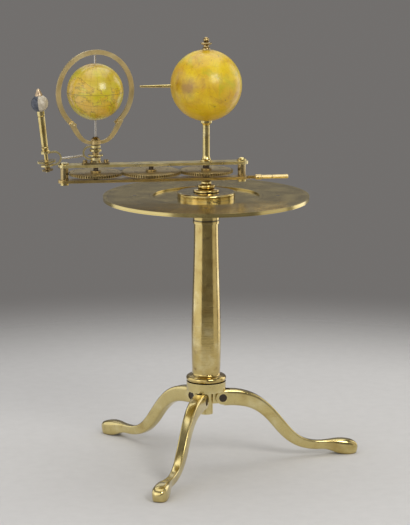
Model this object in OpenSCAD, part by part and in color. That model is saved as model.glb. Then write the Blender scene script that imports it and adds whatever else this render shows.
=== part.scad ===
// Tellurion: a hand-turned model of the sun, the earth and the moon.
// A geared arm turns over a round table on a column with three folding legs.
// Millimetres, +Z up. The origin is on the column axis, at floor level.
// The arm lies along X, with the earth end towards -X.

/* [Legs] */
// Radius of the circle through the three toe tips
foot_reach = 196; // [186:1:210]
// Turn of the tripod about the column, against the arm
leg_turn = 5; // [0:1:60]
// Height of the leg hinge pins above the floor
hinge_z = 82; // [78:0.5:90]
// Distance of the leg hinge pins from the column axis
hinge_r = 20; // [19:0.5:22]
// Radius of a leg hinge pin
hinge_pin_r = 5; // [3:0.1:5.5]
// How far the ends of a hinge pin lie below the leg's sides
pin_recess = 1.2; // [0.5:0.1:2]
// Radius of the rounded end of a leg, about its pin
eye_r = 8.5; // [7:0.1:9]
// Height of a leg at its hinge
knuckle_h = 20.6; // [19:0.2:23]
// Width of a leg at its hinge
knuckle_w = 14.5; // [13:0.5:18]
// Distance from a hinge pin out to the full-height shoulder of its leg
shoulder_out = 2; // [1:0.1:3]
// Slope of a leg at its steepest place
calf_lean = 52; // [46:1:58]
// Distance of the steepest place of a leg from the column axis
calf_r = 92; // [85:1:98]
// Height of the middle of a leg at its steepest place
calf_z = 45.5; // [42:0.5:50]
// Depth of a leg at its steepest place
calf_h = 15.8; // [13:0.2:18]
// Width of a leg at its steepest place
calf_w = 12; // [10:0.5:14]
// Distance of the ankle from the column axis
ankle_r = 150; // [142:1:158]
// Height of the middle of the ankle
ankle_z = 13; // [11:0.5:16]
// Depth of a leg at the ankle
ankle_h = 11; // [9:0.2:13]
// Width of a leg at the ankle
ankle_w = 9; // [7:0.5:11]
// Height of the pad foot
foot_h = 21; // [17:0.5:23]
// Width of the pad foot
foot_w = 19; // [15:0.5:23]
// Depth that the sole is dressed flat
sole_cut = 1.2; // [0.6:0.1:2]

/* [Leg hub] */
// Radius of the collar over the legs
collar_r = 24.5; // [22.5:0.5:26]
// Height of the collar
collar_h = 11.5; // [8:0.5:15]
// Radius of the core that carries the lugs
core_r = 8.5; // [7.5:0.1:9]
// How far the core reaches below the hinge pins
core_drop = 20; // [14:0.5:24]
// Radius of the cove between the core and the collar
core_cove_r = 2.5; // [1:0.1:2.8]
// Thickness of the lug that each leg straddles
lug_t = 6; // [4:0.5:8]
// Radius of the rounded end of a lug
lug_r = 7.5; // [6:0.1:8]
// Radius of the tie rod through the column
rod_r = 4; // [3:0.1:5]
// Radius of the tie rod's round head
rod_head_r = 6; // [5.5:0.1:6.5]
// Height of the tie rod's round head
rod_head_h = 5; // [3:0.5:7]
// Width of the driver slot in screw heads
slot_w = 0.8; // [0.5:0.1:1.2]

/* [Column] */
// Height of the column with its foot moulding
column_h = 204; // [150:1:260]
// Radius of the shaft just above its moulding
shaft_low_r = 17.4; // [15:0.1:18.5]
// How far the curve of the shaft's swelling is drawn out
shaft_swell = 2.8; // [0:0.1:4]
// Radius of the shaft at its top
shaft_top_r = 15.2; // [14:0.1:16]
// Radius of the fillet on top of the shaft
fillet_r = 16.5; // [15.5:0.1:18]
// Height of the fillet on top of the shaft
fillet_h = 4; // [2:0.1:6]
// Radius of the foot moulding
base_r = 25; // [22:0.5:26]
// Radius of the half round of the foot moulding
base_round_r = 4; // [3:0.1:5]
// Radius of the cove above the foot moulding
base_cove_r = 3; // [1.5:0.1:3.5]
// Radius of the bore of the column
column_bore_r = 9; // [7:0.1:11]
// Radius of the neck between column and table
neck_r = 16.4; // [13:0.1:17]
// Height of the neck between column and table
neck_h = 25.5; // [15:0.5:40]
// Radius of the flange under the table
flange_r = 30; // [26:0.5:33]
// Thickness of the flange under the table
flange_t = 4; // [3:0.5:6]
// Depth of the spigot in the column's bore
spigot_h = 30; // [20:1:40]

/* [Table] */
// Diameter of the table
table_d = 254; // [240:1:280]
// Thickness of the table plate
plate_t = 2.5; // [2:0.1:4]
// Inner radius of the scale ring on the plate
scale_in_r = 66; // [50:1:75]
// Thickness of the scale ring
scale_t = 2; // [1.5:0.1:3]
// Radius of the circle of the scale ring's screws
scale_screw_at = 88; // [80:1:100]
// Turn of the scale ring's screws
scale_screw_turn = -8; // [-45:1:45]
// Head radius of the scale ring's screws
scale_head_r = 2.4; // [2:0.1:3]
// Head height of the scale ring's screws
scale_head_h = 1.2; // [0.8:0.1:1.4]
// Shank radius of the scale ring's screws
scale_shank_r = 1.2; // [0.8:0.1:1.6]
// Radius of the disc at the middle of the table
disc_r = 35.7; // [32:0.1:40]
// Height of the disc at the middle of the table
disc_h = 7; // [6:0.5:9]
// Radius of the rounded edge of the disc
disc_edge_r = 1.8; // [0.5:0.1:2.5]
// Radius of the circle of the screws through the flange
table_screw_at = 23; // [20:0.5:25]
// Shank radius of the screws through the flange
table_screw_r = 2; // [1.5:0.1:2.5]
// Head radius of the screws through the flange
table_head_r = 3.6; // [3:0.1:4]
// Head height of the screws through the flange
table_head_h = 2.4; // [1.5:0.1:3]
// How far the screws through the flange reach into the disc
table_screw_bite = 4; // [2:0.5:5]
// Radius of the turned boss on the disc
boss_r = 16.2; // [15:0.1:20]
// Height of the rim of the turned boss
boss_rim_h = 3; // [2:0.1:4]
// Height of the turned boss
boss_h = 13.5; // [12:0.1:16]
// Radius of the bead on the turned boss
boss_bead_r = 10.8; // [9.5:0.1:12]
// Top radius of the turned boss
boss_top_r = 6.4; // [6.1:0.1:8]

/* [Arm] */
// Height of the arm's underside above the turned boss
arm_lift = 1.5; // [1:0.1:5]
// Width of the arm's two bars
bar_w = 16; // [15:0.5:20]
// Thickness of the arm's two bars
bar_t = 3.5; // [3:0.1:5]
// Clear height between the two bars
bar_gap = 15.5; // [14:0.5:22]
// Radius of the pillars between the bars
pillar_r = 5; // [4:0.1:5.5]
// Radius of the studs on the ends of the pillars
stud_r = 2; // [1.5:0.1:2.5]
// Distance of the sun-end pillar from the column axis
sun_pillar_at = 44; // [43:0.5:60]
// Room between the earth-end pillar and the earth's wheel
pillar_room = 0.5; // [0.4:0.1:2]
// Radius of the domed nuts on the pillars
cap_nut_r = 5.6; // [4.5:0.1:7]
// Height of the straight part of the domed nuts
cap_nut_h = 2; // [1.6:0.1:2.4]
// Height of the dome of the sun-end nut
high_dome_h = 2.6; // [2:0.1:5]
// Height of the dome of the earth-end nut, which the moon's rod passes over
low_dome_h = 0.9; // [0.6:0.1:1.2]
// Radius of the nuts under the pillars
foot_nut_r = 5.2; // [4:0.1:7]
// Height of the nuts under the pillars
foot_nut_h = 3; // [2:0.1:5]
// Length of the handle from the end of the lower bar
handle_l = 50; // [40:1:70]
// Radius of the slim part of the handle
handle_r = 2.4; // [1.8:0.1:3]
// Radius of the grip of the handle
grip_r = 2.5; // [2.2:0.1:4]
// Length of the grip of the handle
grip_l = 20; // [12:1:26]
// Radius of the socket of the handle
socket_r = 3.2; // [3:0.1:5]
// Length of the socket of the handle
socket_l = 8; // [7:0.5:12]
// Length of the bar's tongue that shows before the handle's socket
tongue_show = 9; // [4:0.5:12]
// Length of the bar's tongue in the handle's socket
tongue_l = 6; // [4:0.5:6.5]
// Width of the bar's tongue
tongue_w = 3.4; // [3:0.1:4]
// Radius of the pin through the handle's socket
handle_pin_r = 0.8; // [0.6:0.1:1]

/* [Wheels] */
// Number of teeth on the centre wheel and on the earth's wheel
wheel_teeth = 64; // [56:2:66]
// Number of teeth on the idler wheel between them
idler_teeth = 72; // [66:2:78]
// Tooth module of the wheels
tooth_module = 1; // [0.95:0.01:1.02]
// Flank clearance between meshing teeth
backlash = 0.3; // [0.2:0.05:0.5]
// Thickness of the wheels
wheel_t = 3.2; // [2:0.1:4]
// Height of the wheels above the lower bar
wheel_lift = 5.5; // [4:0.5:7]
// Radius of the collets of the wheels
collet_r = 6.5; // [5.5:0.1:9]
// Height of the collets above the wheels
collet_h = 2.2; // [1:0.1:4]
// Radius of the centre arbor where it carries the arm
shoulder_r = 5.4; // [5:0.1:6]
// Radius of the centre arbor inside the arm
centre_arbor_r = 4; // [3.5:0.1:4.5]
// Radius of the centre arbor's top pivot
centre_pivot_r = 3; // [2:0.1:3.2]
// Height of the centre arbor's top pivot above the upper bar
centre_pivot_h = 3; // [2:0.1:3.5]
// Radius of the other two arbors
arbor_r = 3; // [2.7:0.1:4]
// Radius of the pivots of the other two arbors
pivot_r = 2; // [1.2:0.1:2.3]

/* [Sun] */
// Radius of the sun ball
sun_r = 43.8; // [38:0.1:48]
// Height of the sun's centre above the upper bar
sun_lift = 94; // [85:0.5:110]
// Radius of the sun's post
sun_post_r = 4.5; // [3.5:0.1:6]
// Radius of the foot of the sun's post
sun_foot_r = 7.8; // [7:0.1:8]
// Thickness of the rim of the sun's foot
sun_foot_t = 1.6; // [1:0.1:3]
// Height of the flare of the sun's foot
sun_flare_h = 9; // [6:0.5:14]
// Radius of the tenon of the sun's foot in the upper bar
sun_tenon_r = 5.5; // [5:0.1:7]
// Radius of the cup under the sun ball
sun_cup_r = 7.2; // [6:0.1:9]
// Radius of the rod through the sun ball
sun_rod_r = 2; // [1.5:0.1:2.5]
// How far the rod reaches into the sun's post
sun_rod_bite = 14; // [8:1:20]
// Radius of the flange of the finial
finial_r = 7; // [5.5:0.1:8]
// Radius of the knob of the finial
finial_knob_r = 3.6; // [2.6:0.1:4.5]
// Height of the finial above the ball
finial_h = 15.5; // [14:0.5:20]
// Room between the pointer's tip and the turning ring
pointer_room = 3; // [1:0.5:10]
// Radius of the pointer at the ball
pointer_r = 1.9; // [1.5:0.1:2.5]
// Radius of the rounded tip of the pointer
pointer_tip_r = 1.2; // [0.8:0.1:1.4]
// Radius of the pointer's tang in the ball
tang_r = 1.2; // [0.8:0.1:1.4]
// Length of the pointer's tang in the ball
tang_l = 12; // [6:1:20]

/* [Earth] */
// Radius of the earth globe
globe_r = 34.5; // [30:0.1:38]
// Height of the globe's centre above the upper bar
globe_lift = 88.5; // [86:0.5:96]
// Radius of the wire that the globe turns on
wire_r = 1.1; // [0.9:0.1:1.6]
// Radius of the fine pivot on top of the wire
wire_pivot_r = 0.6; // [0.4:0.1:0.7]
// Length of the fine pivot on top of the wire
wire_pivot_l = 3; // [2:0.1:3.5]
// Outer radius of the meridian ring
ring_r = 51.3; // [48:0.1:52]
// Breadth of the meridian ring
ring_w = 5.8; // [4:0.1:7]
// Thickness of the meridian ring
ring_t = 2.5; // [2:0.1:4]
// Angle below its middle at which the meridian ring ends
ring_open = 57; // [50:1:62]
// Angle that the fork's arms lap over the ring's ends
fork_lap = 10; // [8:0.5:14]
// Breadth of the fork's arms on the ring
fork_w = 6.6; // [5:0.1:7.5]
// Breadth of the fork's arms at the collar
fork_end_w = 4.2; // [3:0.1:4.8]
// Thickness of the fork's arms
fork_t = 2; // [1.5:0.1:3]
// Radius of the rivets between fork and ring
rivet_r = 0.8; // [0.6:0.1:1.2]
// Turn of the meridian ring against the arm
ring_turn = 18; // [-90:1:90]
// Radius of the ring's collar
ring_collar_r = 6.5; // [6:0.1:8]
// Height of the ring's collar
ring_collar_h = 5.4; // [5:0.1:7]
// Radius of the spindle head inside the collar
head_r = 4.4; // [4:0.1:5]
// Radius of the rim of the spindle head
head_rim_r = 5.5; // [5:0.1:6]
// Height of the spindle head above the collar
head_top_h = 4; // [3:0.5:6]
// Depth of the wire's socket in the spindle head
wire_socket_h = 3.4; // [2:0.1:4]

/* [Earth bearing] */
// Radius of the bearing's flange on the upper bar
bearing_r = 17; // [15.5:0.1:18]
// Thickness of the bearing's flange
bearing_t = 2.5; // [2:0.1:4]
// Distance of the flange screws from the earth's axis
bearing_screw_at = 12.9; // [12:0.1:14]
// Head radius of the flange screws
bearing_head_r = 2.7; // [2:0.1:3]
// Head height of the flange screws
bearing_head_h = 2.6; // [1.6:0.1:3]
// Shank radius of the flange screws
bearing_shank_r = 1.3; // [0.8:0.1:1.6]
// Low radius of the cone under the moon's yoke
cone_low_r = 7.5; // [6.5:0.1:9]
// Top radius of the cone under the moon's yoke
cone_top_r = 6; // [5:0.1:7]
// Height of the cone under the moon's yoke
cone_h = 2.5; // [1.5:0.1:4]
// Radius of the bearing's tube
tube_r = 4.2; // [3.8:0.1:5]
// Radius of the earth arbor inside the tube
spindle_r = 2.5; // [2:0.1:2.8]
// Radius of the tube's wide ring
wide_ring_r = 9.5; // [7:0.1:11]
// Thickness of the tube's wide ring
wide_ring_t = 2; // [1:0.1:2.5]
// Radius of the tube's narrow ring
narrow_ring_r = 7.4; // [6:0.1:9]
// Thickness of the tube's narrow ring
narrow_ring_t = 3; // [2:0.1:3.5]

/* [Moon] */
// Outer radius of the yoke's two eyes on the tube
yoke_eye_r = 6.2; // [5.8:0.1:7.5]
// Thickness of the yoke's eyes
yoke_eye_t = 3; // [2:0.1:3.5]
// Distance between the middles of the two eyes
yoke_span = 15; // [14:0.5:18]
// Thickness of the bent straps of the moon's arm
strap_t = 2; // [1.5:0.1:2.5]
// Width of the bent straps of the moon's arm
strap_w = 5; // [4:0.1:7]
// Radius of the rod of the moon's arm
moon_rod_r = 1.3; // [1:0.1:1.8]
// Lean of the moon's post
lean = 6; // [3:0.5:8]
// How far the middle of the moon's own yoke hangs below the rod's inner end
moon_drop = 3.2; // [2.8:0.1:4]
// How far the rod joins the yoke below its middle
rod_drop = 3.6; // [2:0.1:4.5]
// Distance of the moon's post from the earth's axis
moon_at = 60.4; // [60:0.1:66]
// Distance between the middles of the eyes of the moon's own yoke
moon_span = 15.6; // [14:0.2:16]
// Distance from the moon's post to the middle of its yoke's bend
moon_reach = 10; // [9:0.1:10.5]
// How far the rod joins the moon's own yoke below its middle
moon_rod_drop = 1.6; // [0:0.1:3]
// Outer radius of the upper eye on the moon's journal
moon_eye_r = 5.6; // [5:0.1:7]
// Outer radius of the lower eye on the moon's journal
moon_low_eye_r = 7.6; // [6:0.1:8]
// Thickness of the eyes on the moon's journal
moon_eye_t = 2; // [1.5:0.1:2.5]
// Radius of the moon's post at its foot
moon_post_r = 4; // [3.5:0.1:5]
// Radius of the moon's post at its top
moon_post_top_r = 4.5; // [3.5:0.1:5]
// Radius of the collars of the moon's post
moon_collar_r = 5.6; // [5:0.1:7]
// Radius of the moon's journal in the two eyes
journal_r = 2.4; // [1.8:0.1:3]
// Radius of the moon ball
moon_r = 10.5; // [9:0.1:12]
// Height of the moon's centre above the middle of its yoke, along the post
moon_lift = 68.7; // [56:0.1:86]
// Radius of the pin through the moon ball
moon_pin_r = 1.1; // [0.8:0.1:1.4]
// Radius of the cap on the moon ball
moon_cap_r = 4.6; // [3:0.1:5]
// Height of the cap on the moon ball
moon_cap_h = 7.6; // [6:0.1:10]
// How far the moon's pin stands out of the ball, inside the cap
moon_peg_h = 4; // [2:0.1:5]
// How far the moon's pin reaches into the post
moon_pin_bite = 8; // [4:0.5:12]
// Radius of the finger wheel between the two eyes
finger_r = 11; // [9:0.1:11.5]
// Thickness of the finger wheel
finger_t = 2.2; // [1.5:0.1:3]
// How far the top of the finger wheel lies below the middle of the yoke
finger_drop = 2; // [1:0.1:2.6]
// Radius of the milled nut under the lower eye
moon_nut_r = 6.6; // [5:0.1:7]
// Thickness of the milled rim of the nut
moon_nut_h = 2.4; // [1.6:0.1:2.6]
// Radius of the neck of the milled nut
nut_neck_r = 3.6; // [3.3:0.1:4.5]
// Height of the neck of the milled nut
nut_neck_h = 3; // [1:0.1:3.2]
// How far the journal stands out below the nut
journal_tip = 1.5; // [0.5:0.1:1.8]

/* [Clearances] */
// Room between a turning piece and a face beside it
face_gap = 0.3; // [0.2:0.05:0.4]
// Radial room of a shaft in its bearing
fit = 0.05; // [0.02:0.01:0.08]

/* [Hidden] */
$fn = 96;

brass = [0.80, 0.64, 0.33];
pale_brass = [0.86, 0.74, 0.46];
steel = [0.30, 0.28, 0.26];
bright_steel = [0.74, 0.72, 0.68];
sun_yellow = [0.86, 0.68, 0.16];
globe_paper = [0.80, 0.72, 0.28];
ivory = [0.84, 0.79, 0.66];

// Heights of the stand, from the floor up
collar_z = hinge_z + knuckle_h / 2 + face_gap;
column_z = collar_z + collar_h;
neck_z = column_z + column_h;
plate_z = neck_z + neck_h;
scale_z = plate_z + plate_t;
disc_z = scale_z;
boss_z = disc_z + disc_h;
core_z = hinge_z - core_drop;
rod_top_z = neck_z + neck_h / 2;

// Heights of the arm
lower_z = boss_z + boss_h + arm_lift;
lower_top = lower_z + bar_t;
upper_z = lower_top + bar_gap;
upper_top = upper_z + bar_t;
wheel_z = lower_top + wheel_lift;

// The wheels mesh in a row along the arm
function pitch_r(teeth) = teeth * tooth_module / 2;
function tip_r(teeth) = pitch_r(teeth) + 0.9 * tooth_module;
function root_r(teeth) = pitch_r(teeth) - 1.25 * tooth_module;
idler_x = -pitch_r(wheel_teeth) - pitch_r(idler_teeth);
earth_x = 2 * idler_x;
sun_pillar_x = sun_pillar_at;
earth_pillar_x = earth_x - tip_r(wheel_teeth) - pillar_room - pillar_r;
bar_end_x = sun_pillar_x + bar_w / 2;
handle_x = bar_end_x + tongue_show;
bar_mid_z = lower_z + bar_t / 2;

// Heights of the stack on the earth bearing
bearing_top = upper_top + bearing_t;
eye_low_z = bearing_top + cone_h;
eye_mid_z = eye_low_z + yoke_eye_t / 2 + yoke_span / 2;
eye_high_z = eye_low_z + yoke_span;
tube_top = eye_high_z + yoke_eye_t + face_gap * 2.5;
head_z = tube_top + face_gap;
wide_ring_z = eye_mid_z - 2 - wide_ring_t;
narrow_ring_z = eye_mid_z + 1.5;
globe_z = upper_top + globe_lift;
sun_z = upper_top + sun_lift;
pointer_l = -earth_x - ring_r - sun_r - pointer_room;
ring_in_r = ring_r - ring_w;
ring_end_z = head_z + ring_collar_h / 2;

// The moon's arm: where its rod leaves the yoke, and where its post stands
strap_mid_r = yoke_span / 2;
strap_out_r = strap_mid_r + strap_t / 2;
yoke_out = strap_mid_r + sqrt(strap_out_r * strap_out_r - rod_drop * rod_drop);
rod_z = eye_mid_z - rod_drop;
moon_z = rod_z - moon_drop;
// The rod runs straight from one yoke to the other
rod_in = [-yoke_out, rod_z];
moon_out_r = (moon_span + strap_t) / 2;
rod_far = moon_reach + sqrt(moon_out_r * moon_out_r - moon_rod_drop * moon_rod_drop);
rod_out = [
  rod_far * cos(lean) + moon_rod_drop * sin(lean) - moon_at,
  moon_z + rod_far * sin(lean) - moon_rod_drop * cos(lean)
];
rod_way = rod_in - rod_out;
rod_l = norm(rod_way);
rod_slope = atan2(rod_way[1], rod_way[0]);
nut_top_w = -moon_span / 2 - moon_eye_t / 2 - face_gap;
nut_low_w = nut_top_w - nut_neck_h - moon_nut_h;
journal_end = nut_low_w - journal_tip;
post_foot_w = moon_span / 2 + moon_eye_t / 2 + face_gap;

// A point on a cubic curve with two handles
function curve(p, t) =
  pow(1 - t, 3) * p[0] + 3 * t * pow(1 - t, 2) * p[1]
  + 3 * t * t * (1 - t) * p[2] + pow(t, 3) * p[3];
// The direction of the same curve
function curve_dir(p, t) =
  pow(1 - t, 2) * (p[1] - p[0]) + 2 * t * (1 - t) * (p[2] - p[1])
  + t * t * (p[3] - p[2]);
function curve_points(p, n, from = 0) = [for (i = [from:n]) curve(p, i / n)];
function mix(a, b, t) = a + (b - a) * t;
function ease(t) = (1 - cos(180 * min(1, max(0, t)))) / 2;
function rounded(v, power) = sign(v) * pow(abs(v), power);

// Middle line of a leg: hinge to calf, calf to ankle, ankle to toe
leg_start = hinge_r + shoulder_out;
calf = [calf_r, calf_z];
calf_way = [cos(calf_lean), -sin(calf_lean)];
foot_mid = foot_h / 2 - sole_cut;
leg_lines = [
  [[leg_start, hinge_z], [mix(leg_start, calf_r, 0.48), hinge_z],
   calf - 0.49 * (calf_r - leg_start) * calf_way, calf],
  [calf, calf + 0.45 * (ankle_r - calf_r) * calf_way,
   [mix(calf_r, ankle_r, 0.5), ankle_z], [ankle_r, ankle_z]],
  [[ankle_r, ankle_z], [mix(ankle_r, foot_reach, 0.3), ankle_z],
   [mix(ankle_r, foot_reach, 0.52), foot_mid], [foot_reach, 0.57 * foot_mid]]
];
leg_depths = [knuckle_h, calf_h, ankle_h, foot_h];
leg_widths = [knuckle_w, calf_w, ankle_w, foot_w];
leg_steps = 12;
leg_sides = 24;
// Sides of a leg are nearly flat; the foot is rounder
leg_flat = 0.32;
foot_flat = 0.55;
// The foot swells over its first part and is rounded off at the toe
toe_from = 0.76;
toe_round = 2.6;
function toe(t) =
  let (u = max(0, (t - toe_from) / (1 - toe_from)))
  pow(max(0.004, 1 - pow(u, toe_round)), 1 / toe_round);
// Steps along the foot, closer together round the toe
function foot_step(v) =
  v < 0.5 ? 2 * v * toe_from : mix(toe_from, 1, pow(sin(180 * (v - 0.5)), 2 / toe_round));
function swell(k, t) = k < 2 ? ease(t) : ease(t / toe_from);
function leg_ring(k, t) =
  let (
    c = curve(leg_lines[k], t),
    d = curve_dir(leg_lines[k], t),
    n = [-d[1], d[0]] / norm(d),
    tip = k < 2 ? 1 : toe(t),
    h = mix(leg_depths[k], leg_depths[k + 1], swell(k, t)) * tip / 2,
    w = mix(leg_widths[k], leg_widths[k + 1], swell(k, t)) * tip / 2,
    e = k < 2 ? leg_flat : mix(leg_flat, foot_flat, swell(k, t))
  )
  [for (j = [0:leg_sides - 1])
    let (a = 360 * (j + 0.5) / leg_sides, up = h * rounded(sin(a), e))
    [c[0] + n[0] * up, w * rounded(cos(a), e), c[1] + n[1] * up]];
leg_rings = [
  for (k = [0:2])
    for (i = [(k == 0 ? 0 : 1):leg_steps])
      leg_ring(k, k < 2 ? i / leg_steps : foot_step(i / leg_steps))
];

// Involute of a base circle, and half the angle of a tooth at a radius
function involute(r, base) = let (a = acos(base / r)) tan(a) * 180 / PI - a;
function half_tooth(r, teeth) =
  let (p = pitch_r(teeth), base = p * cos(20))
  90 / teeth - backlash / p * 45 / PI + involute(p, base) - involute(r, base);
function flank(teeth) =
  let (low = root_r(teeth), high = tip_r(teeth))
  [low, (low + high) / 2, high];
function polar(r, a) = [r * cos(a), r * sin(a)];

// One smooth tube through a list of rings with equal counts
module loft(rings) {
  sides = len(rings[0]);
  last = len(rings) - 1;
  points = [for (r = rings) each r];
  skin = [
    for (i = [0:last - 1])
      for (j = [0:sides - 1])
        let (k = (j + 1) % sides)
        each [
          [i * sides + j, (i + 1) * sides + k, i * sides + k],
          [i * sides + j, (i + 1) * sides + j, (i + 1) * sides + k]
        ]
  ];
  start = [for (j = [0:sides - 1]) j];
  end = [for (j = [sides - 1:-1:0]) last * sides + j];
  polyhedron(points, concat(skin, [start, end]));
}

// A leg along +X, forked at the hinge and flat under the foot
module leg() {
  slot = lug_t + 2 * face_gap;
  difference() {
    union() {
      intersection() {
        loft(leg_rings);
        translate([0, -foot_w, 0])
          cube([2 * foot_reach, 2 * foot_w, 2 * hinge_z]);
      }
      translate([hinge_r, knuckle_w / 2, hinge_z])
        rotate([90, 0, 0])
          cylinder(h = knuckle_w, r = eye_r);
    }
    translate([0, -slot / 2, 0])
      cube([hinge_r + lug_r + 2, slot, 2 * hinge_z]);
    translate([hinge_r, knuckle_w, hinge_z])
      rotate([90, 0, 0])
        cylinder(h = 2 * knuckle_w, r = hinge_pin_r + fit);
  }
}

module place_leg(i) {
  rotate([0, 0, leg_turn + 120 * i])
    children();
}

module leg_right() {
  color(brass)
    place_leg(0)
      leg();
}

module leg_left() {
  color(brass)
    place_leg(1)
      leg();
}

module leg_front() {
  color(brass)
    place_leg(2)
      leg();
}

module leg_hinge_pins() {
  l = knuckle_w - 2 * pin_recess;
  color(steel)
    for (i = [0:2])
      place_leg(i)
        translate([hinge_r, l / 2, hinge_z])
          rotate([90, 0, 0])
            cylinder(h = l, r = hinge_pin_r);
}

module leg_hub() {
  color(brass)
    difference() {
      union() {
        translate([0, 0, collar_z])
          cylinder(h = collar_h, r = collar_r);
        rotate_extrude()
          difference() {
            translate([0, core_z])
              square([core_r + core_cove_r, collar_z - core_z]);
            translate([core_r, core_z - 1])
              square([core_cove_r + 1, collar_z - core_z + 1 - core_cove_r]);
            translate([core_r + core_cove_r, collar_z - core_cove_r])
              circle(r = core_cove_r);
          }
        for (i = [0:2])
          place_leg(i)
            translate([0, lug_t / 2, 0])
              rotate([90, 0, 0])
                linear_extrude(lug_t) {
                  translate([hinge_r, hinge_z])
                    circle(r = lug_r);
                  translate([0, hinge_z - lug_r])
                    square([hinge_r, collar_z - hinge_z + lug_r + 1]);
                }
      }
      for (i = [0:2])
        place_leg(i)
          translate([hinge_r, lug_t, hinge_z])
            rotate([90, 0, 0])
              cylinder(h = 2 * lug_t, r = hinge_pin_r);
      translate([0, 0, core_z - 1])
        cylinder(h = column_z - core_z + 2, r = rod_r);
      translate([0, 0, core_z - 1])
        cylinder(h = rod_head_h + 1, r = rod_head_r);
    }
}

// The tie rod holds hub, column and table socket together
module tie_rod() {
  color(steel)
    difference() {
      union() {
        translate([0, 0, core_z])
          cylinder(h = rod_head_h, r = rod_head_r);
        translate([0, 0, core_z])
          cylinder(h = rod_top_z - core_z, r = rod_r);
      }
      translate([-rod_head_r, -slot_w, core_z - 1])
        cube([2 * rod_head_r, 2 * slot_w, 1 + rod_head_h / 3]);
    }
}

module column() {
  moulding_h = 2 * base_round_r;
  cove_top = moulding_h + base_cove_r;
  shaft_end = column_h - fillet_h;
  color(brass)
    translate([0, 0, column_z])
      rotate_extrude() {
        translate([column_bore_r, 0])
          square([base_r - base_round_r - column_bore_r, moulding_h]);
        translate([base_r - base_round_r, base_round_r])
          circle(r = base_round_r);
        difference() {
          translate([column_bore_r, moulding_h / 2])
            square([shaft_low_r + base_cove_r - column_bore_r, moulding_h / 2 + base_cove_r]);
          translate([shaft_low_r + base_cove_r, cove_top])
            circle(r = base_cove_r);
        }
        polygon(concat(
          [[column_bore_r, moulding_h], [shaft_low_r, moulding_h], [shaft_low_r, cove_top]],
          curve_points([[shaft_low_r, cove_top],
            [shaft_low_r + shaft_swell, mix(cove_top, shaft_end, 0.34)],
            [shaft_top_r + 0.4, mix(cove_top, shaft_end, 0.6)], [shaft_top_r, shaft_end]], 20, 1),
          [[fillet_r, shaft_end], [fillet_r, column_h - 0.6], [fillet_r - 0.6, column_h],
           [column_bore_r, column_h]]
        ));
      }
}

// Neck, flange and spigot in one turned piece under the table
module table_socket() {
  color(brass)
    difference() {
      union() {
        translate([0, 0, neck_z - spigot_h])
          cylinder(h = spigot_h + 1, r = column_bore_r);
        translate([0, 0, neck_z])
          cylinder(h = neck_h, r = neck_r);
        translate([0, 0, plate_z - flange_t])
          cylinder(h = flange_t, r = flange_r);
        translate([0, 0, plate_z - flange_t - 3])
          cylinder(h = 3, r1 = neck_r, r2 = neck_r + 1.6);
      }
      translate([0, 0, neck_z - spigot_h - 1])
        cylinder(h = rod_top_z - neck_z + spigot_h + 1, r = rod_r);
      table_screw_places()
        translate([0, 0, plate_z - flange_t - 1])
          cylinder(h = flange_t + 2, r = table_screw_r);
    }
}

module table_screw_places() {
  for (i = [0:3])
    rotate([0, 0, 45 + 90 * i])
      translate([table_screw_at, 0, 0])
        children();
}

module table_screws() {
  color(steel)
    table_screw_places()
      difference() {
        union() {
          translate([0, 0, plate_z - flange_t - table_head_h])
            cylinder(h = table_head_h, r = table_head_r);
          translate([0, 0, plate_z - flange_t])
            cylinder(h = flange_t + plate_t + table_screw_bite, r = table_screw_r);
        }
        translate([-table_head_r, -slot_w / 2, plate_z - flange_t - table_head_h - 1])
          cube([2 * table_head_r, slot_w, 1 + table_head_h / 2]);
      }
}

module scale_screw_places() {
  for (i = [0:3])
    rotate([0, 0, scale_screw_turn + 90 * i])
      translate([scale_screw_at, 0, 0])
        children();
}

module table_plate() {
  color(brass)
    difference() {
      translate([0, 0, plate_z])
        cylinder(h = plate_t, r = table_d / 2);
      table_screw_places()
        translate([0, 0, plate_z - 1])
          cylinder(h = plate_t + 2, r = table_screw_r);
      scale_screw_places()
        translate([0, 0, plate_z - 1])
          cylinder(h = plate_t + 2, r = scale_shank_r);
    }
}

module scale_ring() {
  color(pale_brass)
    difference() {
      translate([0, 0, scale_z])
        cylinder(h = scale_t, r = table_d / 2);
      translate([0, 0, scale_z - 1])
        cylinder(h = scale_t + 2, r = scale_in_r);
      scale_screw_places() {
        translate([0, 0, scale_z - 1])
          cylinder(h = scale_t + 2, r = scale_shank_r);
        translate([0, 0, scale_z + scale_t - scale_head_h])
          cylinder(h = scale_head_h + 1, r = scale_head_r);
      }
    }
}

module scale_ring_screws() {
  top = scale_z + scale_t;
  color(steel)
    scale_screw_places()
      difference() {
        union() {
          translate([0, 0, top - scale_head_h])
            cylinder(h = scale_head_h, r = scale_head_r);
          translate([0, 0, plate_z])
            cylinder(h = top - plate_z - scale_head_h / 2, r = scale_shank_r);
        }
        translate([-scale_head_r, -slot_w / 2, top - scale_head_h / 2])
          cube([2 * scale_head_r, slot_w, scale_head_h]);
      }
}

module hub_disc() {
  color(brass)
    difference() {
      translate([0, 0, disc_z])
        rotate_extrude() {
          square([disc_r - disc_edge_r, disc_h]);
          square([disc_r, disc_h - disc_edge_r]);
          translate([disc_r - disc_edge_r, disc_h - disc_edge_r])
            circle(r = disc_edge_r);
        }
      table_screw_places()
        translate([0, 0, disc_z - 1])
          cylinder(h = table_screw_bite + 1, r = table_screw_r);
    }
}

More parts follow.
